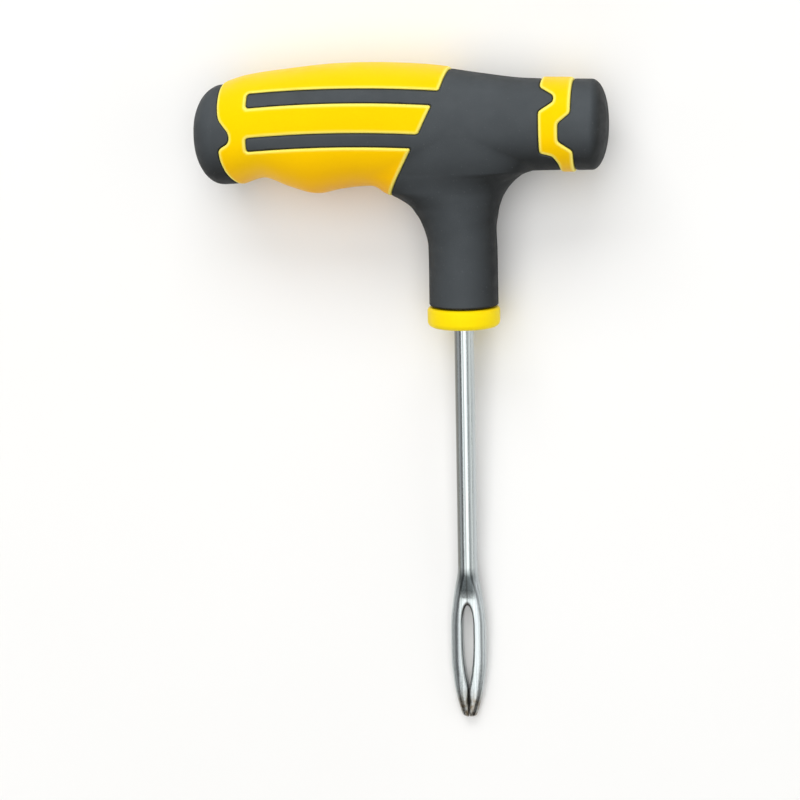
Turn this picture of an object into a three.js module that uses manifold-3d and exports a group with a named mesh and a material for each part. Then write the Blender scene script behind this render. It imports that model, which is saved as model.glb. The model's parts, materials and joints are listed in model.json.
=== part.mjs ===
// Tyre plug insertion tool: a split-eye needle set in a two-colour T-handle.
//
// Millimetres. The tool is drawn in its own frame: +X runs along the bar of the handle to its
// short end, +Y runs up the needle's axis into the handle, and +Z faces the front. At the end
// the whole tool is laid on its back, as it rests on a table.

import * as THREE from 'three';
import Module from 'manifold-3d';
import { LoftGeometry } from 'three/addons/geometries/LoftGeometry.js';
import { mergeVertices } from 'three/addons/utils/BufferGeometryUtils.js';

// Handle.
const SKIN = 2.6; // thickness of the moulded skins over the core
const GAP = 0.3; // clearance between neighbouring pieces
const LEFT_SHOULDER = -48.4; // where the long end starts to dome
const LEFT_DOME = 6; // length of that dome
const RIGHT_SHOULDER = 25.9; // where the short end starts to dome
const RIGHT_DOME = 3.4; // length of that dome
const SECTION_POWER = 2.2; // bar section: 2 would be an ellipse, more is squarer
const STEM_END = -34.4; // lower end of the stem's skin
const STEM_ROOT = 1; // height at which the stem has merged into the bar

// Collar, under the stem.
const COLLAR_RADIUS = 7.3;
const COLLAR_TOP = -34.7;
const COLLAR_FACE = -38.7;
const COLLAR_FLOOR = 1.8; // thickness under the core's end
const COLLAR_ROUND = 1.2;

// Needle.
const ROD_RADIUS = 2;
const TIP_END = -121.1;
const SLOT_TOP = -96.3;
const SLOT_HALF = 1.3; // half the width of the eye
const SLOT_LOW = -110.4; // where the eye starts to close
const SLIT_TOP = -115;
const SLIT_HALF = 0.3; // half the width of the split in the tip

// Outlines of the bar and the stem, each a height or a half-width against one coordinate.
const BAR_TOP = [
  [-48.4, 10.1], [-43.4, 11.6], [-35.4, 12.7], [-25.4, 13.65], [-15.4, 13.75], [-5.4, 13.15],
  [4.6, 11.7], [12.6, 10.7], [25.9, 10.35],
];
const BAR_BOTTOM = [
  [-48.4, -10.2], [-45.4, -9.95], [-39.9, -8.5], [-34.4, -10.4], [-29.4, -11.7], [-24.4, -10.8],
  [-19.9, -10.3], [-13.4, -10.3], [0.6, -9], [13.6, -7.75], [25.9, -7.6],
];
const BAR_DEPTH = [
  [-48.4, 10], [-41.4, 10.8], [-31.4, 11], [-3.4, 11], [6.6, 10.1], [16.6, 9.1], [25.9, 8.9],
];
const BAR_MIDDLE = [[-48.4, 0.1], [25.9, 1.4]];
const STEM_LEFT = [
  [-34.4, 7.1], [-22.5, 7.1], [-20.2, 7.5], [-17.4, 8.55], [-15.8, 9.55], [-14.3, 10.75], [-12.9, 12.9],
  [-11.2, 16.1], [-8, 17.4], [-4, 14.4], [1, 9.6],
];
const STEM_RIGHT = [
  [-34.4, 7.2], [-22.5, 7.1], [-18.7, 7], [-16.5, 7.3], [-14.3, 7.75], [-12.1, 8.65], [-9.9, 10.3],
  [-8.4, 12.1], [-7.4, 13.8], [-4, 13.1], [1, 9.4],
];
const STEM_DEPTH = [[-34.4, 7.1], [-20, 7.2], [-14, 8.1], [-8, 9.4], [-3, 10.2], [1, 10.2]];

// Needle from its tip to its tang: half-width, then half-thickness, against height.
const NEEDLE_WIDTH = [
  [-121.1, 0.7], [-120.6, 1.35], [-118.3, 2.2], [-116, 2.75], [-113.7, 3.15], [-111.2, 3.45], [-109, 3.65],
  [-102.1, 3.65], [-99.7, 3.55], [-97.5, 3.3], [-95.2, 3], [-92.9, 2.6], [-90.6, 2.15], [-88.5, 2],
  [-16, 2], [-14.5, 3.4], [-6, 3.4], [-4.5, 2], [3, 2], [4, 1.5],
];
const NEEDLE_DEPTH = [
  [-121.1, 0.5], [-120.6, 0.85], [-118.3, 1.15], [-111.2, 1.4], [-97.5, 1.4], [-95.2, 1.45], [-92.9, 1.6],
  [-90.6, 1.9], [-88.5, 2], [-16, 2], [-14.5, 1.3], [-6, 1.3], [-4.5, 2], [3, 2], [4, 1.5],
];

// Colour boundaries across the bar, from above its top to below its bottom.
const CAP_EDGE = [
  [-48, 16], [-47.7, 9.4], [-47.4, 5.5], [-47, 3.4], [-44.8, 0.75], [-44.8, -1], [-47.15, -2.4],
  [-47, -4.6], [-46.3, -7.2], [-45, -9.8], [-44.4, -45],
];
const DIAGONAL = [[-1.2, 16], [-1.9, 12.7], [-2.9, 8.5], [-7.2, -0.5], [-14.25, -13], [-29.4, -45]];
const BAND_LEFT = [
  [16.2, 16], [16.2, 8.9], [19.1, 7.4], [19.1, 6.3], [16.3, 4.5], [16.4, -3.6], [18.9, -4.3], [19.9, -6],
  [20, -45],
];
const BAND_RIGHT = [
  [22.4, 16], [22.5, 4.1], [20.1, 2.2], [20.1, -1.3], [22.9, -3.2], [22.8, -8], [22.8, -45],
];
const FAR_LEFT = [[-70, 16], [-70, -45]];
const FAR_RIGHT = [[45, 16], [45, -45]];

// The two recessed stripes on the long arm: one low arch, at two heights.
const STRIPE_START = -41.25;
const STRIPE_END = 2.6;
const STRIPE_CROWN = -20.6; // where the arch is highest
const STRIPE_BEND = 0.002; // drop per millimetre squared away from the crown
const STRIPE_HALF = 1.35;
const STRIPE_HEIGHTS = [7.85, -0.6];

const AROUND = 24; // points round a section
const REACH = 22; // half the depth of the cutting prisms

const wasm = await Module();
wasm.setup();

// A smooth curve through the points, as a function of their first coordinate.
function curve(points) {
  const slopeAt = (i) => {
    const before = points[Math.max(i - 1, 0)];
    const after = points[Math.min(i + 1, points.length - 1)];
    return (after[1] - before[1]) / (after[0] - before[0]);
  };
  return (at) => {
    const x = THREE.MathUtils.clamp(at, points[0][0], points[points.length - 1][0]);
    let i = 0;
    while (i < points.length - 2 && x > points[i + 1][0]) i += 1;
    const [x0, y0] = points[i];
    const [x1, y1] = points[i + 1];
    const span = x1 - x0;
    const t = (x - x0) / span;
    const rise = y1 - y0;
    const bend = (1 - t) * (slopeAt(i) * span - rise) + t * (rise - slopeAt(i + 1) * span);
    return y0 + t * rise + t * (1 - t) * bend;
  };
}

// Straight runs between the points, as a function of their first coordinate.
function line(points) {
  return (x) => {
    let i = 0;
    while (i < points.length - 2 && x > points[i + 1][0]) i += 1;
    const [x0, y0] = points[i];
    const [x1, y1] = points[i + 1];
    return y0 + ((y1 - y0) * (x - x0)) / (x1 - x0);
  };
}

// A closed surface becomes a solid that can be joined and cut.
function solid(geometry) {
  const bare = new THREE.BufferGeometry().copy(geometry);
  bare.deleteAttribute('normal');
  bare.deleteAttribute('uv');
  const merged = mergeVertices(bare, 1e-4);
  return new wasm.Manifold(
    new wasm.Mesh({
      numProp: 3,
      vertProperties: new Float32Array(merged.attributes.position.array),
      triVerts: new Uint32Array(merged.index.array),
    }),
  );
}

// And back to a surface.
function surface(body) {
  const mesh = body.getMesh();
  const geometry = new THREE.BufferGeometry();
  geometry.setAttribute('position', new THREE.BufferAttribute(mesh.vertProperties, 3));
  geometry.setIndex(new THREE.BufferAttribute(mesh.triVerts, 1));
  geometry.computeVertexNormals();
  return geometry;
}

// A power below 1 of a sine or cosine squares up an ellipse.
function squared(value, power) {
  return Math.sign(value) * Math.abs(value) ** (2 / power);
}

// The bar: a row of sections along X, drawn inwards by inset.
const barTop = curve(BAR_TOP);
const barBottom = curve(BAR_BOTTOM);
const barDepth = curve(BAR_DEPTH);
const barMiddle = line(BAR_MIDDLE);

function barSection(x, at, scale, inset) {
  const middle = barMiddle(at);
  const up = (barTop(at) - middle - inset) * scale;
  const down = (middle - barBottom(at) - inset) * scale;
  const deep = (barDepth(at) - inset) * scale;
  const points = [];
  for (let i = 0; i < AROUND; i += 1) {
    const angle = (i / AROUND) * 2 * Math.PI;
    const lift = squared(Math.sin(angle), SECTION_POWER);
    const y = middle + lift * (lift > 0 ? up : down);
    points.push(new THREE.Vector3(x, y, -deep * squared(Math.cos(angle), SECTION_POWER)));
  }
  return points;
}

function bar(inset) {
  const domeAngles = [84, 66, 46, 24].map(THREE.MathUtils.degToRad);
  const sections = [];
  for (const angle of domeAngles) {
    const x = LEFT_SHOULDER - (LEFT_DOME - inset) * Math.sin(angle);
    sections.push(barSection(x, LEFT_SHOULDER, Math.cos(angle), inset));
  }
  const grooves = 12; // sections along the finger grooves
  const plain = 7; // sections along the rest
  const turn = -14; // where the grooves end
  for (let i = 0; i < grooves; i += 1) {
    const x = THREE.MathUtils.lerp(LEFT_SHOULDER, turn, i / grooves);
    sections.push(barSection(x, x, 1, inset));
  }
  for (let i = 0; i <= plain; i += 1) {
    const x = THREE.MathUtils.lerp(turn, RIGHT_SHOULDER, i / plain);
    sections.push(barSection(x, x, 1, inset));
  }
  for (const angle of domeAngles.reverse()) {
    const x = RIGHT_SHOULDER + (RIGHT_DOME - inset) * Math.sin(angle);
    sections.push(barSection(x, RIGHT_SHOULDER, Math.cos(angle), inset));
  }
  return solid(new LoftGeometry(sections, { capStart: true, capEnd: true }));
}

// The stem: a row of ellipses up Y that flare into the bar.
const stemLeft = curve(STEM_LEFT);
const stemRight = curve(STEM_RIGHT);
const stemDepth = curve(STEM_DEPTH);

function stem(inset, lowerEnd) {
  const heights = [lowerEnd, -28, -22.5, -20, -18, -16, -14.3, -13, -11.8, -10.5, -9, -7.5, -4, STEM_ROOT];
  const sections = heights.map((y) => {
    const left = stemLeft(y) - inset;
    const right = stemRight(y) - inset;
    const deep = stemDepth(y) - inset;
    const points = [];
    for (let i = 0; i < AROUND; i += 1) {
      const angle = (i / AROUND) * 2 * Math.PI;
      const x = (right - left) / 2 - ((right + left) / 2) * Math.cos(angle);
      points.push(new THREE.Vector3(x, y, deep * Math.sin(angle)));
    }
    return points;
  });
  return solid(new LoftGeometry(sections, { capStart: true, capEnd: true }));
}

// The needle: round rod, flat forged eye and flat keyed tang, grown outwards by play.
function needleBlank(play) {
  const width = line(NEEDLE_WIDTH);
  const depth = line(NEEDLE_DEPTH);
  const around = 16;
  const sections = NEEDLE_WIDTH.map(([y]) => {
    const wide = width(y) + play;
    const deep = depth(y) + play;
    const flatness = wide > deep + 0.2 ? 2.6 : 2;
    const points = [];
    for (let i = 0; i < around; i += 1) {
      const angle = (i / around) * 2 * Math.PI;
      const x = -wide * squared(Math.cos(angle), flatness);
      points.push(new THREE.Vector3(x, y, deep * squared(Math.sin(angle), flatness)));
    }
    return points;
  });
  return solid(new LoftGeometry(sections, { capStart: true, capEnd: true }));
}

// A closed outline in XY pushed through the whole depth of the tool.
function prism(points) {
  const outline = new THREE.Shape(points.map(([x, y]) => new THREE.Vector2(x, y)));
  const geometry = new THREE.ExtrudeGeometry(outline, { depth: 2 * REACH, bevelEnabled: false });
  geometry.translate(0, 0, -REACH);
  return solid(geometry);
}

// The part of the bar between two colour boundaries, with half the clearance off each side.
function between(leftEdge, rightEdge) {
  const left = leftEdge.map(([x, y]) => [x + 0.6 * GAP, y]);
  const right = rightEdge.map(([x, y]) => [x - 0.6 * GAP, y]);
  return prism([...left, ...right.reverse()]);
}

function stripe(height, margin) {
  const steps = 5;
  const start = STRIPE_START - margin;
  const half = STRIPE_HALF + margin;
  const middle = (x) => height - STRIPE_BEND * (x - STRIPE_CROWN) ** 2;
  const upper = [];
  const lower = [];
  for (let i = 0; i <= steps; i += 1) {
    const x = THREE.MathUtils.lerp(start, STRIPE_END, i / steps);
    const edge = i === 0 ? half - 0.6 : half; // the blunt end has cut corners
    upper.push([x, middle(x) + edge]);
    lower.push([x, middle(x) - edge]);
  }
  upper.splice(1, 0, [start + 0.6, middle(start) + half]);
  lower.splice(1, 0, [start + 0.6, middle(start) - half]);
  return prism([...lower, ...upper.reverse()]);
}

// The eye: a long slot with an arched top that narrows into the split through the tip.
function eyeSlot() {
  const outline = new THREE.Shape();
  outline.moveTo(-SLIT_HALF, TIP_END - 1);
  outline.lineTo(SLIT_HALF, TIP_END - 1);
  outline.lineTo(SLIT_HALF, SLIT_TOP);
  outline.lineTo(SLOT_HALF, SLOT_LOW);
  outline.lineTo(SLOT_HALF, SLOT_TOP - 3.2);
  outline.quadraticCurveTo(SLOT_HALF, SLOT_TOP, 0, SLOT_TOP);
  outline.quadraticCurveTo(-SLOT_HALF, SLOT_TOP, -SLOT_HALF, SLOT_TOP - 3.2);
  outline.lineTo(-SLOT_HALF, SLOT_LOW);
  outline.lineTo(-SLIT_HALF, SLIT_TOP);
  const geometry = new THREE.ExtrudeGeometry(outline, { depth: 8, bevelEnabled: false, curveSegments: 5 });
  geometry.translate(0, 0, -4);
  return solid(geometry);
}

function needle() {
  return needleBlank(0).subtract(eyeSlot());
}

function core() {
  const inset = SKIN + GAP;
  const seat = COLLAR_FACE + COLLAR_FLOOR + GAP;
  return bar(inset).add(stem(inset, seat)).subtract(needleBlank(GAP));
}

// The collar is a ring with a step inside, which seats on the end of the core.
function collar() {
  const bore = ROD_RADIUS + GAP;
  const seat = stemLeft(STEM_END) - SKIN;
  const round = (x, y, from) => {
    const steps = 3;
    const points = [];
    for (let i = 0; i <= steps; i += 1) {
      const angle = from + (i / steps) * (Math.PI / 2);
      points.push(new THREE.Vector2(x + COLLAR_ROUND * Math.cos(angle), y + COLLAR_ROUND * Math.sin(angle)));
    }
    return points;
  };
  const profile = [
    new THREE.Vector2(bore, COLLAR_FACE),
    ...round(COLLAR_RADIUS - COLLAR_ROUND, COLLAR_FACE + COLLAR_ROUND, -Math.PI / 2),
    ...round(COLLAR_RADIUS - COLLAR_ROUND, COLLAR_TOP - COLLAR_ROUND, 0),
    new THREE.Vector2(seat, COLLAR_TOP),
    new THREE.Vector2(seat, COLLAR_FACE + COLLAR_FLOOR),
    new THREE.Vector2(bore, COLLAR_FACE + COLLAR_FLOOR),
    new THREE.Vector2(bore, COLLAR_FACE),
  ];
  return solid(new THREE.LatheGeometry(profile, 32));
}

// The skins: the shell between the outer form and the core, shared out by colour boundary.
const form = bar(0).add(stem(0, STEM_END));
const cavity = bar(SKIN).add(stem(SKIN, STEM_END - 1));
const shell = form.subtract(cavity);

function gripSleeve() {
  let panel = shell.intersect(between(CAP_EDGE, DIAGONAL));
  for (const height of STRIPE_HEIGHTS) panel = panel.subtract(stripe(height, GAP));
  return panel;
}

function mainGrip() {
  let region = between(DIAGONAL, BAND_LEFT);
  for (const height of STRIPE_HEIGHTS) region = region.add(stripe(height, 0));
  return shell.intersect(region);
}

const steel = { color: 0xc3cec6, roughness: 0.28, metalness: 1 };
const yellow = { color: 0xfbdc10, roughness: 0.45, metalness: 0 };
const black = { color: 0x3d4346, roughness: 0.7, metalness: 0 };
const natural = { color: 0xd9d5c6, roughness: 0.6, metalness: 0 };

const tool = new THREE.Group();

function place(name, body, finish) {
  const piece = new THREE.Mesh(surface(body), new THREE.MeshStandardMaterial(finish));
  piece.name = name;
  tool.add(piece);
  return piece;
}

const needleShank = place('needle_shank', needle(), steel);
place('inner_core', core(), natural);
const sleeve = place('yellow_grip_sleeve', gripSleeve(), yellow);
place('yellow_band', shell.intersect(between(BAND_LEFT, BAND_RIGHT)), yellow);
place('collar_ring', collar(), yellow);
const grip = place('main_grip', mainGrip(), black);
place('left_end_cap', shell.intersect(between(FAR_LEFT, CAP_EDGE)), black);
place('right_end_cap', shell.intersect(between(BAND_RIGHT, FAR_RIGHT)), black);

// Laid on its back, the tool rests on the belly of its handle and on the eye.
function lowest(pieces, tilt) {
  let low = Infinity;
  for (const piece of pieces) {
    const at = piece.geometry.attributes.position;
    for (let i = 0; i < at.count; i += 1) {
      low = Math.min(low, at.getY(i) * Math.sin(tilt) + at.getZ(i) * Math.cos(tilt));
    }
  }
  return low;
}

function restTilt() {
  let flat = 0;
  let steep = 0.2;
  for (let i = 0; i < 40; i += 1) {
    const tilt = (flat + steep) / 2;
    if (lowest([needleShank], tilt) > lowest([sleeve, grip], tilt)) flat = tilt;
    else steep = tilt;
  }
  return flat;
}

tool.rotation.x = restTilt();

// The origin is under the middle of the tool, on the table.
const group = new THREE.Group();
group.add(tool);
group.updateMatrixWorld(true);
const extent = new THREE.Box3().setFromObject(group, true);
const middle = extent.getCenter(new THREE.Vector3());
tool.position.set(-middle.x, -middle.y, -extent.min.z);

export default group;
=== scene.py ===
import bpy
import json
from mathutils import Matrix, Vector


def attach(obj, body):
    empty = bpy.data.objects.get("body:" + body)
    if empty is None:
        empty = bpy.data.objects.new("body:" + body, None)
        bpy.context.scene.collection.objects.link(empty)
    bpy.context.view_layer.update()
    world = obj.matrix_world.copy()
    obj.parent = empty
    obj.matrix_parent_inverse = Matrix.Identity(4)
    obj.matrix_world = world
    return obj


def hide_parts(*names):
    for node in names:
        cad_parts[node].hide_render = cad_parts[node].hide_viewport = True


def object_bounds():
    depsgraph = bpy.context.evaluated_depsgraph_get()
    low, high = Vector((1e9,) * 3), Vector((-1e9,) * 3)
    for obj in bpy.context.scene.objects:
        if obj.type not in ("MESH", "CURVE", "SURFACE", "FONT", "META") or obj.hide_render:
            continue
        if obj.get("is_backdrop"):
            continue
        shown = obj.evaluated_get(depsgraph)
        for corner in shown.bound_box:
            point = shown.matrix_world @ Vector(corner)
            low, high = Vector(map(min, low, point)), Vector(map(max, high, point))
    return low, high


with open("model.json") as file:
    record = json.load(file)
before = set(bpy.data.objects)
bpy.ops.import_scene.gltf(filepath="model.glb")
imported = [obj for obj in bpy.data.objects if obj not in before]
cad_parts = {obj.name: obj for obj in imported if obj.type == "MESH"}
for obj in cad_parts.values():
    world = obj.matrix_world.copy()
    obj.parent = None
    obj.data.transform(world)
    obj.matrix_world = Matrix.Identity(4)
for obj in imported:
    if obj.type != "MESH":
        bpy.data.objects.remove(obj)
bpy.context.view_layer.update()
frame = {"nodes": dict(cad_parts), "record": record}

# Looks of the tyre plug insertion tool: a split-eye steel needle in a two-colour T-handle.
#
# The moulded skins and the needle are drawn as fields: functions of x, y and z that are negative
# inside the piece. A mesh is laid on the surface where the field is zero. The collar is turned
# from a profile, and the core is the CAD node with a better material. Fields work in the tool's
# own frame in millimetres: +X along the bar to its short end, +Y up the needle's axis, +Z to the
# front. The collar_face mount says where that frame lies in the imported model.

import json
import math

import bpy
import numpy as np
from mathutils import Matrix, Vector

MM = 0.001

# The form under the skins, as in the CAD source, but for STEM_TOP, STEM_DEPTH and SKIN, which
# are this model's own.
LEFT_SHOULDER = -48.4
LEFT_DOME = 6
RIGHT_SHOULDER = 25.9
RIGHT_DOME = 3.4
SECTION_POWER = 2.2
STEM_END = -34.4
STEM_TOP = 2
BAR_TOP = [
    (-48.4, 10.1), (-43.4, 11.6), (-35.4, 12.7), (-25.4, 13.65), (-15.4, 13.75), (-5.4, 13.15),
    (4.6, 11.7), (12.6, 10.7), (25.9, 10.35),
]
BAR_BOTTOM = [
    (-48.4, -10.2), (-45.4, -9.95), (-39.9, -8.5), (-34.4, -10.4), (-29.4, -11.7), (-24.4, -10.8),
    (-19.9, -10.3), (-13.4, -10.3), (0.6, -9), (13.6, -7.75), (25.9, -7.6),
]
BAR_DEPTH = [
    (-48.4, 10), (-41.4, 10.8), (-31.4, 11), (-3.4, 11), (6.6, 10.1), (16.6, 9.1), (25.9, 8.9),
]
BAR_MIDDLE = [(-48.4, 0.1), (25.9, 1.4)]
STEM_LEFT = [
    (-34.4, 7.1), (-22.5, 7.1), (-20.2, 7.5), (-17.4, 8.55), (-15.8, 9.55), (-14.3, 10.75),
    (-12.9, 12.9), (-11.2, 16.1), (-8, 17.4), (-4, 14.4), (1, 9.6),
]
STEM_RIGHT = [
    (-34.4, 7.2), (-22.5, 7.1), (-18.7, 7), (-16.5, 7.3), (-14.3, 7.75), (-12.1, 8.65),
    (-9.9, 10.3), (-8.4, 12.1), (-7.4, 13.8), (-4, 13.1), (1, 9.4),
]
STEM_DEPTH = [
    (-34.4, 7.1), (-22, 7.15), (-15, 7.9), (-9, 9.2), (-4, 10.2), (0, 10.3), (3, 9.6),
]

# Colour boundaries across the bar, as in the CAD source.
CAP_EDGE = [
    (-48, 16), (-47.7, 9.4), (-47.4, 5.5), (-47, 3.4), (-44.8, 0.75), (-44.8, -1), (-47.15, -2.4),
    (-47, -4.6), (-46.3, -7.2), (-45, -9.8), (-44.4, -45),
]
DIAGONAL = [(-1.2, 16), (-1.9, 12.7), (-2.9, 8.5), (-7.2, -0.5), (-14.25, -13), (-29.4, -45)]
BAND_LEFT = [
    (16.2, 16), (16.2, 8.9), (19.1, 7.4), (19.1, 6.3), (16.3, 4.5), (16.4, -3.6), (18.9, -4.3),
    (19.9, -6), (20, -45),
]
BAND_RIGHT = [
    (22.4, 16), (22.5, 4.1), (20.1, 2.2), (20.1, -1.3), (22.9, -3.2), (22.8, -8), (22.8, -45),
]
CAP_CORNER = 0.8  # how far the corners of each boundary are rounded
DIAGONAL_CORNER = 0.5
BAND_CORNER = 0.55
PANEL_CORNER = 0.5  # radius of the corners where a stripe meets the panel's edge
STRIPE_START = -41.25
STRIPE_END = 2.6
STRIPE_CROWN = -20.6
STRIPE_BEND = 0.002
STRIPE_HALF = 1.35
STRIPE_CORNER = 0.55
STRIPE_HEIGHTS = (7.85, -0.6)
MAIN_START = STRIPE_START - 1.8  # the charcoal moulding lies to the right of this

# The skins.
SKIN = 2.5
SEAM = 0.03  # half the hairline between two skins
YELLOW_LIFT = 0.12  # how far the hard yellow panels stand over the form
BLACK_LIFT = -0.22  # and the soft black skin, which lies lower
YELLOW_EDGE = 0.5  # radius along the edges of the yellow panels
BLACK_EDGE = 0.3
END_EDGE = 0.45  # radius round the stem's lower end
TIGHT_FILLET = 0.8  # reach of the fillet between bar and stem, at the sides
MORE_FILLET = 3.2  # how much wider it gets in front
FILLET_FRONT = 8  # full this far from the middle plane
FILLET_DROP = 9  # and this far below the tool's origin
PARTING_HEIGHT = 0.09  # the mould's parting line, all the way round in the middle plane
PARTING_WIDTH = 0.13
PAINTED_HIGHLIGHT_WIDTH = 0.75  # how far the painted highlight along a yellow panel's edge reaches in

# Collar: an outer ring, and a step inside that the core sits in.
COLLAR_RADIUS = 7.3
COLLAR_TOP = -34.7
COLLAR_FACE = -38.7
COLLAR_STEP = -36.9
COLLAR_SEAT = 4.6
COLLAR_BORE = 2.15
COLLAR_LOWER_ROUND = 1.2
COLLAR_UPPER_ROUND = 0.7
COLLAR_BORE_CUT = 0.3  # chamfer round the bore
COLLAR_SEAT_CUT = 0.2
COLLAR_SIDES = 96
COLLAR_SHARP = 40  # degrees between faces, from where an edge stays sharp
MOUNT_OFFSET = 5  # the mount's point lies on the face, this far to the right of the axis

# Needle: half-width, half-thickness and the height of the forging flats, against y.
ROD_RADIUS = 2
NEEDLE_WIDTH = [
    (-121.1, 0.9), (-120.6, 1.5), (-118.3, 2.2), (-116, 2.75), (-113.7, 3.15), (-111.2, 3.45),
    (-109, 3.62), (-102.1, 3.65), (-99.7, 3.55), (-97.5, 3.3), (-95.2, 3), (-92.9, 2.6),
    (-90.6, 2.15), (-88.5, 2), (4, 2),
]
NEEDLE_DEPTH = [
    (-121.1, 0.7), (-120.6, 1.05), (-118.3, 1.35), (-111.2, 1.5), (-97.5, 1.5), (-95.2, 1.53),
    (-92.9, 1.75), (-90.6, 1.95), (-88.5, 2), (4, 2),
]
NEEDLE_FLAT = [
    (-121.1, 1.05), (-111.2, 1.4), (-97, 1.4), (-95.2, 1.45), (-90.4, 1.99), (-88.5, 2.3), (4, 2.3),
]
TIP_END = -121.1
TANG_END = 3.5
NEEDLE_END_EDGE = 0.5  # radius round both ends
FLAT_EDGE = 0.12  # radius along the forging flats
SLOT_HALF = 1.12
SLOT_TOP = -96.8
SLOT_ARCH = -101  # where the straight sides of the eye start to arch
SLOT_SIDE = [
    (-122, 0.13), (-115.6, 0.14), (-113.6, 0.32), (-111, 0.72), (-108, 1), (-104.5, 1.12), (-101, 1.12),
]
SLOT_EDGE = 0.56  # radius round the eye
SLIT_EDGE = 0.2  # and along the split
SLIT_EDGE_TOP = -116.5  # where the one starts to grow into the other
SLIT_EDGE_GROWTH = 4  # and over what height
EYE_SQUARENESS = 0.3  # how much squarer the eye's section is than the rod's
EYE_WIDENING = 0.8  # reached when the needle is this much wider

# Meshes, in millimetres: the size of their cells, and how their points are moved onto the surface.
SKIN_CELL = 0.3
BAND_CELL = 0.25
SKIN_REACH = 12.1  # half the depth of the skins' grid
FORGED_CELL = 0.16  # along the forged part of the needle
ROD_CELL = 0.8  # along its round rod
NEEDLE_CELL = 0.14  # across the needle
PARTING_LAYERS = (0.06, 0.12, 0.19, 0.28, 0.42)
OTHER_LAYERS = 0.66  # where the even layers start
SETTLE_ROUNDS = 3
MOVE_REACH = 0.01  # how far apart the field is sampled for a move
NORMAL_REACH = 0.03  # and for the normals
LEAST_SQUARED_SLOPE = 0.05  # keeps a move short where the field is nearly flat

# Colours, as linear RGBA.
YELLOW_TINTS = ((0.94, 0.60, 0.0, 1), (0.97, 0.645, 0.0, 1))
# Painted shade: a warmer, deeper yellow towards the belly.
YELLOW_BELLY_PAINTED_SHADE = (0.97, 0.46, 0.0, 1)
YELLOW_COLLAR = (0.97, 0.74, 0.004, 1)
# Painted highlight along the yellow panels' edges.
YELLOW_PAINTED_HIGHLIGHT = (1.0, 0.88, 0.17, 1)
YELLOW_MOTTLE = (0.86, 0.48, 0.0, 1)
YELLOW_SHEEN = (1.0, 0.8, 0.1, 1)
BLACK_TINTS = ((0.053, 0.061, 0.067, 1), (0.066, 0.076, 0.084, 1))
BLACK_PAINTED_SHADE = (0.008, 0.009, 0.009, 1)
BLACK_DUST = (0.16, 0.17, 0.18, 1)
STEEL_TINTS = ((0.44, 0.49, 0.49, 1), (0.66, 0.71, 0.7, 1))
STEEL_BANDS = (0.5, 0.53, 0.57, 1)
# Painted dark reflection down the rod's left flank.
STEEL_FLANK_PAINTED_REFLECTION = (0.13, 0.12, 0.1, 1)
# Painted dark reflection on the facet above the eye.
STEEL_FACET_PAINTED_REFLECTION = (0.06, 0.075, 0.08, 1)
# Painted shade in the needle's eye.
STEEL_EYE_PAINTED_SHADE = (0.05, 0.045, 0.04, 1)
STEEL_TIP = (0.2, 0.15, 0.09, 1)
# Painted shadow beside the split.
STEEL_SPLIT_PAINTED_SHADOW = (0.03, 0.028, 0.02, 1)
CORE_TINTS = ((0.66, 0.62, 0.5, 1), (0.72, 0.69, 0.58, 1))
FLOOR_TINTS = ((0.86, 0.86, 0.85, 1), (0.88, 0.88, 0.875, 1))

# Painted shade: the rubber gets darker by where its surface faces, in the object's own frame.
PAINTED_SHADE_WAY = (0.1, -0.4, -0.9)  # the way that the darkest painted shade faces
PAINTED_SHADE_RANGE = (-0.94, -0.3)  # the normal's part in that way, from palest to darkest

# Where the other looks change, in metres in the tool's frame: from the first value to the second.
YELLOW_WANDER = 0.0012  # how far noise shifts the yellow's heights
BELLY_SHADE_HEIGHTS = (0.0, -0.011)  # the belly's painted shade, a warmer yellow, comes in
BELLY_SHADE_ENDS = (-0.02, -0.03)  # and goes again, above the collar
COLLAR_TINT_HEIGHTS = (-0.033, -0.035)
WEDGE_HEIGHTS = (-0.1135, -0.1175)
WEDGE_HALVES = (0.0001, 0.0006)  # the wedge's half-width at those heights
WEDGE_BLUR = (-0.0001, 0.0002)
WEDGE_END = (-0.119, -0.1178)
PAINTED_REFLECTION_SIDE = (-0.00105, -0.0014)
ROD_START = (-0.094, -0.088)
FACET_TOP = (-0.0885, -0.0905)
FACET_BOTTOM = (-0.0957, -0.0935)
FACET_SIDES = (0.0019, 0.0012)
TIP_HEIGHTS = (-0.1145, -0.1185)

# Studio, in metres, watts and degrees.
FLOOR_SIZE = 3.0
FLOOR_GAP = 0.00002  # between the floor and the lowest point above it
BRIGHT_WAY = (0.5, 0.75, 0.7)  # where the world is brightest
WORLD_RAMP = (("From Min", -0.15), ("From Max", 0.6), ("To Min", 0.12), ("To Max", 1.0))
WORLD_STRENGTH = 0.35
BACKDROP = 2.6  # brightness of the bare background, in shares of the world's strength
CAMERA_PLACE = (0.0801, 0.0477, 0.426)
CAMERA_LEAN = 0.3
CAMERA_LENS = 95  # millimetres, as is the sensor
CAMERA_SENSOR = 36
# Each light: its name, its place, the point it faces, its size, its watts and its colour.
LIGHTS = [
    ("overhead", (0.05, 0.05, 2.55), (0.05, 0.05, 0), (3.0, 3.3), 50, (1, 1, 1)),
    ("behind_handle", (-0.1, 0.8, 0.6), (0, 0.03, 0), (0.9, 0.4), 4.6, (1, 0.99, 0.97)),
    ("low_fill", (-0.15, -0.75, 0.4), (0, 0.03, 0), (0.8, 0.35), 1.2, (1, 0.96, 0.9)),
    ("left_strip", (-0.5, -0.05, 0.2), (0, -0.05, 0), (0.6, 0.3), 0.3, (1, 1, 1)),
    ("right_strip", (0.5, -0.05, 0.2), (0, -0.05, 0), (0.6, 0.3), 0.4, (1, 1, 1)),
]


# ---------------------------------------------------------------- curves and outlines


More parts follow.
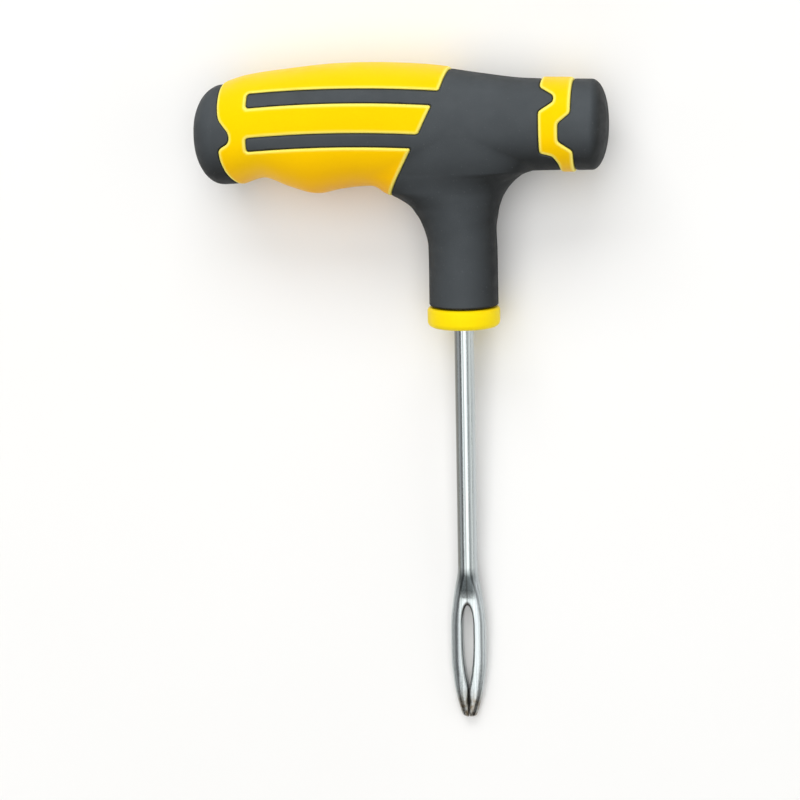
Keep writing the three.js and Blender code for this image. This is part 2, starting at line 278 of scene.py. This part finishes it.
def curve(points):
    """A smooth curve through the points, as a function of their first coordinate."""
    at, height = np.array(points, float).T
    before = np.maximum(np.arange(len(at)) - 1, 0)
    after = np.minimum(np.arange(len(at)) + 1, len(at) - 1)
    slope = (height[after] - height[before]) / (at[after] - at[before])

    def value(x):
        x = np.clip(x, at[0], at[-1])
        i = np.clip(np.searchsorted(at, x) - 1, 0, len(at) - 2)
        span = at[i + 1] - at[i]
        rise = height[i + 1] - height[i]
        t = (x - at[i]) / span
        bend = (1 - t) * (slope[i] * span - rise) + t * (rise - slope[i + 1] * span)
        return height[i] + t * rise + t * (1 - t) * bend

    return value


def line(points):
    """Straight runs between the points."""
    at, height = np.array(points, float).T
    return lambda x: np.interp(x, at, height)


def rounded(points, reach, parts=4):
    """The same outline with a short quadratic arc at each corner."""
    corners = [Vector(p) for p in points]
    path = [corners[0]]
    for before, corner, after in zip(corners, corners[1:], corners[2:]):
        cut_in = min(reach, 0.45 * (corner - before).length)
        cut_out = min(reach, 0.45 * (after - corner).length)
        start = corner + (before - corner).normalized() * cut_in
        end = corner + (after - corner).normalized() * cut_out
        for i in range(parts + 1):
            t = i / parts
            path.append(start * (1 - t) ** 2 + corner * 2 * t * (1 - t) + end * t**2)
    path.append(corners[-1])
    return np.array(path)


def boundary(points, reach):
    """Signed distance from an outline that runs down the tool: positive on its right."""
    path = rounded(points, reach)

    def distance(x, y):
        nearest = np.inf
        for (x0, y0), (x1, y1) in zip(path, path[1:]):
            dx = x1 - x0
            dy = y1 - y0
            t = np.clip(((x - x0) * dx + (y - y0) * dy) / (dx * dx + dy * dy), 0, 1)
            nearest = np.minimum(nearest, (x - x0 - t * dx) ** 2 + (y - y0 - t * dy) ** 2)
        across = np.interp(-y, -path[:, 1], path[:, 0])
        return np.sqrt(nearest) * np.where(x > across, 1.0, -1.0)

    return distance


# ---------------------------------------------------------------- fields


def both(a, b, radius=0.0):
    """Inside both fields, with the edge between them rounded."""
    corner = np.sqrt(np.maximum(a + radius, 0) ** 2 + np.maximum(b + radius, 0) ** 2)
    return np.minimum(-radius, np.maximum(a, b)) + corner


def blended(a, b, reach):
    """Inside either field, with a fillet between them."""
    overlap = np.maximum(reach - np.abs(a - b), 0) / reach
    return np.minimum(a, b) - overlap * overlap * reach / 4


def ease(t):
    """From 0 to 1 with no kink at either end."""
    t = np.clip(t, 0, 1)
    return t * t * (3 - 2 * t)


def from_level(level, radius):
    """Distance along the line from the centre, where level is 1 on the surface."""
    return radius * (1 - 1 / np.maximum(level, 1e-6))


bar_top = curve(BAR_TOP)
bar_bottom = curve(BAR_BOTTOM)
bar_depth = curve(BAR_DEPTH)
bar_middle = line(BAR_MIDDLE)
stem_left = curve(STEM_LEFT)
stem_right = curve(STEM_RIGHT)
stem_depth = curve(STEM_DEPTH)


def bar(x, y, z):
    at = np.clip(x, LEFT_SHOULDER, RIGHT_SHOULDER)
    middle = bar_middle(at)
    height = np.where(y > middle, bar_top(at) - middle, middle - bar_bottom(at))
    tall = (np.abs(y - middle) / height) ** SECTION_POWER
    deep = (np.abs(z) / bar_depth(at)) ** SECTION_POWER
    section = (tall + deep) ** (1 / SECTION_POWER)
    dome = np.where(x < 0, LEFT_DOME, RIGHT_DOME)
    level = np.hypot(section, (x - at) / dome)
    return from_level(level, np.sqrt((x - at) ** 2 + (y - middle) ** 2 + z**2))


def stem(x, y, z):
    at = np.clip(y, STEM_END, STEM_TOP)
    centre = (stem_right(at) - stem_left(at)) / 2
    half = (stem_right(at) + stem_left(at)) / 2
    level = np.hypot((x - centre) / half, z / stem_depth(at))
    side = from_level(level, np.hypot(x - centre, z))
    hidden_edge = 0.5  # the stem's top is inside the bar
    return both(side, y - STEM_TOP, hidden_edge)


def form(x, y, z):
    """The whole handle. The fillet between bar and stem is wide in front and tight at the sides."""
    front = ease(np.abs(z) / FILLET_FRONT)
    low = ease(-y / FILLET_DROP)
    fillet = TIGHT_FILLET + MORE_FILLET * front * low
    return blended(bar(x, y, z), stem(x, y, z), fillet)


def parting(z):
    return PARTING_HEIGHT * np.exp(-((z / PARTING_WIDTH) ** 2))


cap_edge = boundary(CAP_EDGE, CAP_CORNER)
diagonal = boundary(DIAGONAL, DIAGONAL_CORNER)
band_left = boundary(BAND_LEFT, BAND_CORNER)
band_right = boundary(BAND_RIGHT, BAND_CORNER)


def stripes(x, y):
    """The two long stripes: bent bars with round corners."""
    nearest = np.inf
    for height in STRIPE_HEIGHTS:
        along = np.abs(x - (STRIPE_START + STRIPE_END) / 2) - (STRIPE_END - STRIPE_START) / 2
        across = np.abs(y - height + STRIPE_BEND * (x - STRIPE_CROWN) ** 2) - STRIPE_HALF
        nearest = np.minimum(nearest, both(along, across, STRIPE_CORNER))
    return nearest


def sleeve_outline(x, y):
    panel = both(-cap_edge(x, y), diagonal(x, y))
    return both(panel, -stripes(x, y), PANEL_CORNER)


def main_outline(x, y):
    return both(both(-sleeve_outline(x, y), band_left(x, y)), MAIN_START - x)


def band_outline(x, y):
    return both(-band_left(x, y), band_right(x, y))


def right_cap_outline(x, y):
    return -band_right(x, y)


def skin(outline, lift, edge):
    """A moulded skin: the form inside an outline, lifted by a little and hollow under SKIN."""

    def field(x, y, z):
        whole = form(x, y, z)
        outside = both(whole - lift - parting(z), STEM_END - y, END_EDGE)
        top = both(outside, outline(x, y) + SEAM, edge)
        return both(top, -(whole + SKIN))

    return field


needle_width = curve(NEEDLE_WIDTH)
needle_depth = curve(NEEDLE_DEPTH)
needle_flat = line(NEEDLE_FLAT)
slot_side = curve(SLOT_SIDE)


def slot(x, y):
    """The eye: an arched slot that closes to a split through the tip."""
    arch = np.hypot(x / SLOT_HALF, (y - SLOT_ARCH) / (SLOT_TOP - SLOT_ARCH))
    rise = from_level(arch, np.hypot(x, y - SLOT_ARCH))
    return np.where(y > SLOT_ARCH, rise, np.abs(x) - slot_side(y))


def needle(x, y, z):
    """A round rod that gets wider, flatter and a little squarer towards its eye."""
    wide = needle_width(y)
    deep = needle_depth(y)
    power = 2 + EYE_SQUARENESS * ease((wide - ROD_RADIUS) / EYE_WIDENING)
    level = ((np.abs(x) / wide) ** power + (np.abs(z) / deep) ** power) ** (1 / power)
    side = from_level(level, np.hypot(x, z))
    blank = both(side, np.abs(z) - needle_flat(y), FLAT_EDGE)
    pointed = both(blank, TIP_END - y, NEEDLE_END_EDGE)
    ended = both(pointed, y - TANG_END, NEEDLE_END_EDGE)
    edge = SLIT_EDGE + (SLOT_EDGE - SLIT_EDGE) * ease((y - SLIT_EDGE_TOP) / SLIT_EDGE_GROWTH)
    return both(ended, -slot(x, y), edge)


# ---------------------------------------------------------------- from fields to meshes


def steps(start, end, size):
    return np.linspace(start, end, max(2, round((end - start) / size) + 1))


def layers(reach, size):
    """Heights from -reach to reach, close together round the parting line."""
    upper = np.concatenate([PARTING_LAYERS, steps(OTHER_LAYERS, reach, size)])
    return np.concatenate([-upper[::-1], [0], upper])


def surface_net(field, axes):
    """Points and quads of the surface where the field changes sign, one point to a cell."""
    xs, ys, zs = axes
    values = field(xs[:, None, None], ys[None, :, None], zs[None, None, :])
    shape = values.shape
    inside = values < 0
    unit = np.eye(3, dtype=int)
    cells = []
    places = []
    for axis in range(3):
        # Every grid edge along this axis, by the value at its lower and at its upper end.
        low = tuple(slice(None, -1) if k == axis else slice(None) for k in range(3))
        high = tuple(slice(1, None) if k == axis else slice(None) for k in range(3))
        index = np.argwhere(inside[low] != inside[high])
        first = values[tuple(index.T)]
        second = values[tuple((index + unit[axis]).T)]
        point = np.stack([axes[k][index[:, k]] for k in range(3)], 1).astype(float)
        span = axes[axis][index[:, axis] + 1] - axes[axis][index[:, axis]]
        point[:, axis] += span * first / (first - second)
        # The four cells round a crossed edge are the corners of one quad.
        one = unit[(axis + 1) % 3]
        two = unit[(axis + 2) % 3]
        ring = np.stack([index - one - two, index - two, index, index - one], 1)
        ring[first > 0] = ring[first > 0][:, ::-1]
        flat = (ring[..., 0] * shape[1] + ring[..., 1]) * shape[2] + ring[..., 2]
        cells.append(flat.ravel())
        places.append(np.repeat(point, 4, axis=0))
    _, numbers = np.unique(np.concatenate(cells), return_inverse=True)
    places = np.concatenate(places)
    count = np.bincount(numbers)
    points = np.stack([np.bincount(numbers, places[:, k]) / count for k in range(3)], 1)
    quads = numbers.reshape(-1, 4)
    return points, quads


TETRAHEDRON = np.array([(1, -1, -1), (-1, -1, 1), (-1, 1, -1), (1, 1, 1)], float)


def slope_of(field, points, reach):
    """The field's value and gradient at the points, from four samples round each."""
    samples = [field(*(points + reach * way).T) for way in TETRAHEDRON]
    gradient = sum(s[:, None] * way for s, way in zip(samples, TETRAHEDRON)) / (4 * reach)
    return sum(samples) / 4, gradient


def settle(field, points, cell):
    """Moves the points onto the surface, and gives the surface's normal at each."""
    for _ in range(SETTLE_ROUNDS):
        value, gradient = slope_of(field, points, MOVE_REACH)
        square = np.maximum((gradient**2).sum(1), LEAST_SQUARED_SLOPE)
        move = -value[:, None] * gradient / square[:, None]
        length = np.maximum(np.linalg.norm(move, axis=1), 1e-9)
        points = points + move * np.minimum(1, 0.5 * cell / length)[:, None]
    _, gradient = slope_of(field, points, NORMAL_REACH)
    normals = gradient / np.maximum(np.linalg.norm(gradient, axis=1), 1e-9)[:, None]
    return points, normals


def frame_of_tool():
    """The matrix from the tool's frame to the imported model's, from the collar's face."""
    mount = frame["record"]["mounts"][0]
    down = Vector(mount["axis"])
    tilt = Matrix.Rotation(math.atan2(-down.z, -down.y), 4, "X")
    face = Vector((MOUNT_OFFSET, COLLAR_FACE, 0)) * MM
    return Matrix.Translation(Vector(mount["pos_m"]) - tilt @ face) @ tilt


TOOL = frame_of_tool()


def piece(name, node, points, faces, material, normals=None):
    """A mesh from points in the tool's frame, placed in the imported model's."""
    turn = np.array(TOOL.to_3x3())
    placed = np.asarray(points) * MM @ turn.T + np.array(TOOL.translation)
    mesh = bpy.data.meshes.new(name)
    mesh.from_pydata(placed.tolist(), [], [list(f) for f in faces])
    mesh.polygons.foreach_set("use_smooth", [True] * len(mesh.polygons))
    if normals is not None:
        mesh.normals_split_custom_set_from_vertices((normals @ turn.T).tolist())
    mesh.materials.append(material)
    made = bpy.data.objects.new(name, mesh)
    bpy.context.scene.collection.objects.link(made)
    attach(made, "root")
    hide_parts(node)
    return made


def field_piece(name, node, field, axes, material):
    """A piece whose surface is where the field is zero, and its points in the tool's frame."""
    points, quads = surface_net(field, axes)
    cell = min(np.median(np.diff(axis)) for axis in axes)
    points, normals = settle(field, points, cell)
    return piece(name, node, points, quads.tolist(), material, normals), points


def mark_painted_rim(made, near):
    """Writes how far each point lies in its piece's painted edge light and shade, from 0 to 1, for the
    material.
    """
    painted_rim = made.data.attributes.new("painted_rim", "FLOAT", "POINT")
    painted_rim.data.foreach_set("value", near.astype(np.float32))


def panel_painted_highlight(points, outline):
    """The painted highlight along the edge of a yellow panel."""
    return ease((outline(points[:, 0], points[:, 1]) + PAINTED_HIGHLIGHT_WIDTH) / (0.6 * PAINTED_HIGHLIGHT_WIDTH))


def eye_painted_shade(points):
    """Painted shade on the wall of the needle's eye, darkest under its arched top."""
    top = ease((points[:, 1] - SLOT_ARCH) / (SLOT_TOP - SLOT_ARCH))
    wall = ease(2 - 2 * slot(points[:, 0], points[:, 1]) / (SLOT_EDGE + 0.6 * top))
    return wall * (0.3 + 0.7 * top)


# ---------------------------------------------------------------- materials


class Finish:
    """A material with a Principled shader, and a short way to add nodes to it."""

    def __init__(self, name, **sockets):
        self.material = bpy.data.materials.new(name)
        self.material.use_nodes = True
        self.tree = self.material.node_tree
        self.shader = self.tree.nodes["Principled BSDF"]
        for socket, value in sockets.items():
            self.shader.inputs[socket.replace("_", " ")].default_value = value
        where = self.tree.nodes.new("ShaderNodeTexCoord").outputs["Object"]
        tool = {"Vector": where, "Location": TOOL.translation, "Rotation": TOOL.to_euler()}
        self.place = self.add("Mapping", tool, vector_type="TEXTURE")

    def add(self, kind, inputs, output=0, **settings):
        """A new node's output. An input is a value or another node's output."""
        node = self.tree.nodes.new("ShaderNode" + kind)
        for name, value in settings.items():
            setattr(node, name, value)
        for name, value in inputs.items():
            if isinstance(value, bpy.types.NodeSocket):
                self.tree.links.new(value, node.inputs[name])
            else:
                node.inputs[name].default_value = value
        return node.outputs[output]

    def along(self, axis):
        """The place on one of the tool's axes, in metres."""
        return self.add("SeparateXYZ", {"Vector": self.place}, axis)

    def painted_rim(self):
        """What mark_painted_rim wrote: the painted edge light and shade."""
        return self.add("Attribute", {}, "Fac", attribute_name="painted_rim")

    def stretched(self, scale):
        return self.add("Mapping", {"Vector": self.place, "Scale": scale})

    def noise(self, scale, detail=2.0, vector=None, roughness=0.5):
        """Noise with about this many cells to the metre."""
        inputs = {
            "Vector": vector or self.place, "Scale": scale, "Detail": detail, "Roughness": roughness,
        }
        return self.add("TexNoise", inputs)

    def ranged(self, value, low, high, start=0.0, end=1.0):
        """The value's way from low to high, as a number from start to end."""
        inputs = {"Value": value, "From Min": low, "From Max": high, "To Min": start, "To Max": end}
        return self.add("MapRange", inputs)

    def product(self, first, second):
        return self.add("Math", {0: first, 1: second}, operation="MULTIPLY")

    def size_of(self, value):
        """The value without its sign."""
        return self.add("Math", {0: value}, operation="ABSOLUTE")

    def mix(self, share, first, second):
        """A mix of two colours: sockets 0, 6, 7 are the factor and the colours, and output 2 is theirs."""
        return self.add("Mix", {0: share, 6: first, 7: second}, 2, data_type="RGBA")

    def bump(self, height, distance, strength=1.0, normal=None):
        inputs = {"Height": height, "Distance": distance, "Strength": strength}
        if normal:
            inputs["Normal"] = normal
        return self.add("Bump", inputs)

    def drive(self, socket, value):
        self.tree.links.new(value, self.shader.inputs[socket])


def yellow_plastic():
    """Hard satin plastic, finely moulded: painted shade at the belly, painted highlight at panel edges."""
    finish = Finish("yellow_plastic", IOR=1.47, Specular_IOR_Level=0.22)
    finish.shader.inputs["Specular Tint"].default_value = YELLOW_SHEEN
    drift = finish.ranged(finish.noise(45.0, 2.0), 0.3, 0.7)
    tint = finish.mix(drift, *YELLOW_TINTS)
    height = finish.along("Y")
    wander = finish.ranged(finish.noise(60.0, 2.0), 0.3, 0.7, -YELLOW_WANDER, YELLOW_WANDER)
    height = finish.add("Math", {0: height, 1: wander}, operation="ADD")
    belly = finish.ranged(height, *BELLY_SHADE_HEIGHTS, 0.0, 0.85)
    above_collar = finish.ranged(height, *BELLY_SHADE_ENDS, 1.0, 0.0)
    painted_belly_shade = finish.product(belly, above_collar)
    # Painted shade towards the belly.
    tint = finish.mix(painted_belly_shade, tint, YELLOW_BELLY_PAINTED_SHADE)
    collar = finish.ranged(height, *COLLAR_TINT_HEIGHTS, 0.0, 1.0)
    tint = finish.mix(collar, tint, YELLOW_COLLAR)
    # Painted highlight along the panels' edges.
    tint = finish.mix(finish.ranged(finish.painted_rim(), 0, 1, 0, 0.9), tint, YELLOW_PAINTED_HIGHLIGHT)
    mottle = finish.ranged(finish.noise(1400.0, 3.0), 0.35, 0.75, 0, 0.1)
    finish.drive("Base Color", finish.mix(mottle, tint, YELLOW_MOTTLE))
    finish.drive("Roughness", finish.ranged(finish.noise(260.0, 4.0), 0.3, 0.7, 0.36, 0.5))
    grain = finish.noise(3200.0, 2.0)
    waves = finish.noise(160.0, 2.0)
    soft = finish.bump(waves, 0.00006)
    finish.drive("Normal", finish.bump(grain, 0.000012, normal=soft))
    return finish.material


def black_rubber():
    """Soft overmould: matt charcoal, painted shade round its sides and underneath, fine grain and dust."""
    finish = Finish("black_rubber", IOR=1.5, Specular_IOR_Level=0.2)
    drift = finish.ranged(finish.noise(70.0, 3.0), 0.3, 0.7)
    tint = finish.mix(drift, *BLACK_TINTS)
    facing = finish.add("TexCoord", {}, "Normal")
    away = finish.add("VectorMath", {0: facing, 1: PAINTED_SHADE_WAY}, "Value", operation="DOT_PRODUCT")
    painted_shade = finish.ranged(away, *PAINTED_SHADE_RANGE, 0.0, 0.85)
    tint = finish.mix(painted_shade, tint, BLACK_PAINTED_SHADE)
    speck = finish.ranged(finish.noise(2600.0, 1.0), 0.7, 0.8, 0, 0.2)
    finish.drive("Base Color", finish.mix(speck, tint, BLACK_DUST))
    finish.drive("Roughness", finish.ranged(finish.noise(420.0, 4.0), 0.3, 0.7, 0.56, 0.72))
    grain = finish.noise(4200.0, 2.0)
    waves = finish.noise(210.0, 3.0)
    soft = finish.bump(waves, 0.00007)
    finish.drive("Normal", finish.bump(grain, 0.00003, normal=soft))
    return finish.material


def painted_split_shadow(finish, along, aside):
    """How far a point lies in the painted shadow beside the split, a dark wedge just above the tip."""
    half = finish.ranged(along, *WEDGE_HEIGHTS, *WEDGE_HALVES)
    off = finish.size_of(aside)
    inside = finish.add("Math", {0: half, 1: off}, operation="SUBTRACT")
    wedge = finish.ranged(inside, *WEDGE_BLUR, 0.0, 0.9)
    ended = finish.ranged(along, *WEDGE_END, 0.0, 1.0)
    return finish.product(wedge, ended)


def plated_steel():
    """Bright plating over a drawn rod.

    It has long fine lines, a painted dark reflection down the rod's left flank and on the facet above
    the eye, painted shade on the eye's wall and in a wedge beside the split, and a browner tip.
    """
    finish = Finish("plated_steel", Metallic=1.0)
    lines = finish.noise(1.0, 3.0, finish.stretched((2600.0, 22.0, 2600.0)), 0.6)
    bands = finish.noise(1.0, 2.0, finish.stretched((900.0, 9.0, 900.0)))
    drawn = finish.mix(finish.ranged(lines, 0.3, 0.7), *STEEL_TINTS)
    toned = finish.mix(finish.ranged(bands, 0.35, 0.65, 0, 0.5), drawn, STEEL_BANDS)
    along = finish.along("Y")
    aside = finish.along("X")
    # Painted dark reflection down the rod's left flank.
    flank = finish.ranged(aside, *PAINTED_REFLECTION_SIDE, 0.0, 0.8)
    rod_only = finish.ranged(along, *ROD_START, 0.0, 1.0)
    painted_flank_reflection = finish.product(flank, rod_only)
    toned = finish.mix(painted_flank_reflection, toned, STEEL_FLANK_PAINTED_REFLECTION)
    # Painted dark reflection on the facet above the eye.
    below_rod = finish.ranged(along, *FACET_TOP, 0.0, 1.0)
    above_eye = finish.ranged(along, *FACET_BOTTOM, 0.0, 0.85)
    facet = finish.product(below_rod, above_eye)
    off_axis = finish.size_of(aside)
    in_front = finish.ranged(off_axis, *FACET_SIDES, 0.15, 1.0)
    facet = finish.product(facet, in_front)
    toned = finish.mix(facet, toned, STEEL_FACET_PAINTED_REFLECTION)
    # Painted shade on the eye's wall.
    toned = finish.mix(finish.ranged(finish.painted_rim(), 0, 1, 0, 0.9), toned, STEEL_EYE_PAINTED_SHADE)
    worn = finish.ranged(finish.noise(900.0, 3.0), 0.35, 0.65, 0.35, 1.0)
    near_tip = finish.ranged(along, *TIP_HEIGHTS, 0.0, 1.0)
    tipped = finish.product(worn, near_tip)
    toned = finish.mix(tipped, toned, STEEL_TIP)
    # Painted shadow in the wedge beside the split.
    finish.drive("Base Color", finish.mix(painted_split_shadow(finish, along, aside), toned, STEEL_SPLIT_PAINTED_SHADOW))
    finish.drive("Roughness", finish.ranged(lines, 0.3, 0.7, 0.3, 0.2))
    pits = finish.noise(1500.0, 2.0)
    soft = finish.bump(lines, 0.00002)
    finish.drive("Normal", finish.bump(pits, 0.000006, normal=soft))
    return finish.material


def core_plastic():
    finish = Finish("core_plastic", Roughness=0.6)
    drift = finish.ranged(finish.noise(90.0, 3.0), 0.3, 0.7)
    finish.drive("Base Color", finish.mix(drift, *CORE_TINTS))
    finish.drive("Normal", finish.bump(finish.noise(1800.0, 2.0), 0.00002))
    return finish.material


YELLOW = yellow_plastic()
BLACK = black_rubber()
STEEL = plated_steel()


# ---------------------------------------------------------------- the pieces

# Each skin: piece, node, outline, whether it is yellow, size of its cells, and a box in x and in y
# that reaches a little past it.
SKINS = [
    (
        "yellow_grip_panels", "yellow_grip_sleeve", sleeve_outline, True,
        SKIN_CELL, (-50.5, 1.5), (-13.2, 15.6),
    ),
    ("soft_black_grip", "main_grip", main_outline, False, SKIN_CELL, (-43.5, 20.6), (-35.3, 14.4)),
    ("left_cap_skin", "left_end_cap", cap_edge, False, SKIN_CELL, (-55.5, -43.2), (-12, 13.5)),
    ("zigzag_band", "yellow_band", band_outline, True, BAND_CELL, (15.4, 23.7), (-9, 12.2)),
    (
        "right_cap_skin", "right_end_cap", right_cap_outline, False,
        SKIN_CELL, (19.3, 30.3), (-9, 12.2),
    ),
]


def make_skins():
    depth = layers(SKIN_REACH, SKIN_CELL)
    for name, node, outline, yellow, cell, wide, tall in SKINS:
        axes = (steps(*wide, cell), steps(*tall, cell), depth)
        if yellow:
            field = skin(outline, YELLOW_LIFT, YELLOW_EDGE)
            made, points = field_piece(name, node, field, axes, YELLOW)
            mark_painted_rim(made, panel_painted_highlight(points, outline))
        else:
            field = skin(outline, BLACK_LIFT, BLACK_EDGE)
            field_piece(name, node, field, axes, BLACK)


def make_needle():
    """The needle, with small cells from its tip to the top of the forging and long ones up the rod."""
    tall = np.concatenate([steps(-121.8, -87.2, FORGED_CELL), steps(-86.6, 4.2, ROD_CELL)])
    axes = (steps(-4.2, 4.2, NEEDLE_CELL), tall, steps(-2.6, 2.6, NEEDLE_CELL))
    made, points = field_piece(
        "split_eye_needle", "needle_shank", needle, axes, STEEL
    )
    mark_painted_rim(made, eye_painted_shade(points))


def quarter(x, y, start, radius, count=6):
    """Points on a quarter circle round (x, y)."""
    angles = np.radians(start + np.linspace(0, 90, count))
    return [(x + radius * math.cos(a), y + radius * math.sin(a)) for a in angles]


def make_collar():
    """A turned ring with soft corners and a step inside that the core sits in."""
    big = COLLAR_LOWER_ROUND
    small = COLLAR_UPPER_ROUND
    profile = [
        (COLLAR_BORE, COLLAR_FACE + COLLAR_BORE_CUT), (COLLAR_BORE + COLLAR_BORE_CUT, COLLAR_FACE),
    ]
    profile += quarter(COLLAR_RADIUS - big, COLLAR_FACE + big, -90, big)
    profile += quarter(COLLAR_RADIUS - small, COLLAR_TOP - small, 0, small)
    profile += [
        (COLLAR_SEAT + COLLAR_SEAT_CUT, COLLAR_TOP), (COLLAR_SEAT, COLLAR_TOP - COLLAR_SEAT_CUT),
        (COLLAR_SEAT, COLLAR_STEP), (COLLAR_BORE, COLLAR_STEP),
    ]
    points = []
    for i in range(COLLAR_SIDES):
        angle = 2 * math.pi * i / COLLAR_SIDES
        points += [(r * math.cos(angle), y, -r * math.sin(angle)) for r, y in profile]
    size = len(profile)
    faces = []
    for i in range(COLLAR_SIDES):
        here = i * size
        there = (i + 1) % COLLAR_SIDES * size
        for k in range(size):
            following = (k + 1) % size
            faces.append((here + k, there + k, there + following, here + following))
    made = piece("collar", "collar_ring", points, faces, YELLOW)
    made.data.set_sharp_from_angle(angle=math.radians(COLLAR_SHARP))


make_skins()
make_needle()
make_collar()

core = frame["nodes"]["inner_core"]
core.data.materials.clear()
core.data.materials.append(core_plastic())


# ---------------------------------------------------------------- studio


def flat(name, size, height, material):
    """A level square round the origin."""
    mesh = bpy.data.meshes.new(name)
    half = size / 2
    corners = [(-half, -half, height), (half, -half, height), (half, half, height), (-half, half, height)]
    mesh.from_pydata(corners, [], [(0, 1, 2, 3)])
    mesh.materials.append(material)
    made = bpy.data.objects.new(name, mesh)
    bpy.context.scene.collection.objects.link(made)
    return made


def pale_floor():
    finish = Finish("pale_floor", Roughness=0.7)
    drift = finish.ranged(finish.noise(6.0, 3.0), 0.3, 0.7)
    finish.drive("Base Color", finish.mix(drift, *FLOOR_TINTS))
    low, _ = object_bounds()
    flat("floor", FLOOR_SIZE, min(0, low.z) - FLOOR_GAP, finish.material)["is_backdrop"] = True


def softbox(name, place, target, size, watts, colour):
    light = bpy.data.lights.new(name, "AREA")
    light.shape = "RECTANGLE"
    light.size, light.size_y = size
    light.energy = watts
    light.color = colour
    made = bpy.data.objects.new(name, light)
    bpy.context.scene.collection.objects.link(made)
    made.location = place
    made.rotation_mode = "QUATERNION"
    made.rotation_quaternion = (Vector(target) - Vector(place)).to_track_quat("-Z", "Y")


def studio_world():
    """Bright above and behind the handle, darker low down, on the left and at the needle's end.

    The bare background that the camera sees is brighter than the light it gives.
    """
    world = bpy.data.worlds.new("studio")
    world.use_nodes = True
    tree = world.node_tree
    shader = tree.nodes["Background"]
    place = tree.nodes.new("ShaderNodeTexCoord")
    dot = tree.nodes.new("ShaderNodeVectorMath")
    dot.operation = "DOT_PRODUCT"
    dot.inputs[1].default_value = BRIGHT_WAY
    ramp = tree.nodes.new("ShaderNodeMapRange")
    ramp.interpolation_type = "SMOOTHSTEP"
    for name, value in WORLD_RAMP:
        ramp.inputs[name].default_value = value
    tree.links.new(place.outputs["Generated"], dot.inputs[0])
    tree.links.new(dot.outputs["Value"], ramp.inputs["Value"])
    seen = tree.nodes.new("ShaderNodeLightPath").outputs["Is Camera Ray"]
    backdrop = tree.nodes.new("ShaderNodeMix")
    backdrop.inputs["B"].default_value = BACKDROP
    tree.links.new(seen, backdrop.inputs["Factor"])
    tree.links.new(ramp.outputs["Result"], backdrop.inputs["A"])
    tree.links.new(backdrop.outputs["Result"], shader.inputs["Color"])
    shader.inputs["Strength"].default_value = WORLD_STRENGTH
    bpy.context.scene.world = world


def camera():
    """Straight above the table to the tool's right, level with its handle, and turned to the tool."""
    eye = Vector(CAMERA_PLACE)
    low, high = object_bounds()
    centre = (low + high) / 2
    ahead = (centre - eye).normalized()
    lean = math.radians(CAMERA_LEAN)
    up = Vector((math.sin(lean), math.cos(lean), 0))
    right = ahead.cross(up).normalized()
    up = right.cross(ahead)
    data = bpy.data.cameras.new("camera")
    data.lens = CAMERA_LENS
    data.sensor_width = CAMERA_SENSOR
    made = bpy.data.objects.new("camera", data)
    bpy.context.scene.collection.objects.link(made)
    turn = Matrix((right, up, -ahead)).transposed().to_4x4()
    made.matrix_world = Matrix.Translation(eye) @ turn
    data.clip_start = 0.01
    data.clip_end = 20
    bpy.context.scene.camera = made


pale_floor()
studio_world()
for light_values in LIGHTS:
    softbox(*light_values)
camera()
bpy.context.scene.view_settings.view_transform = "Standard"
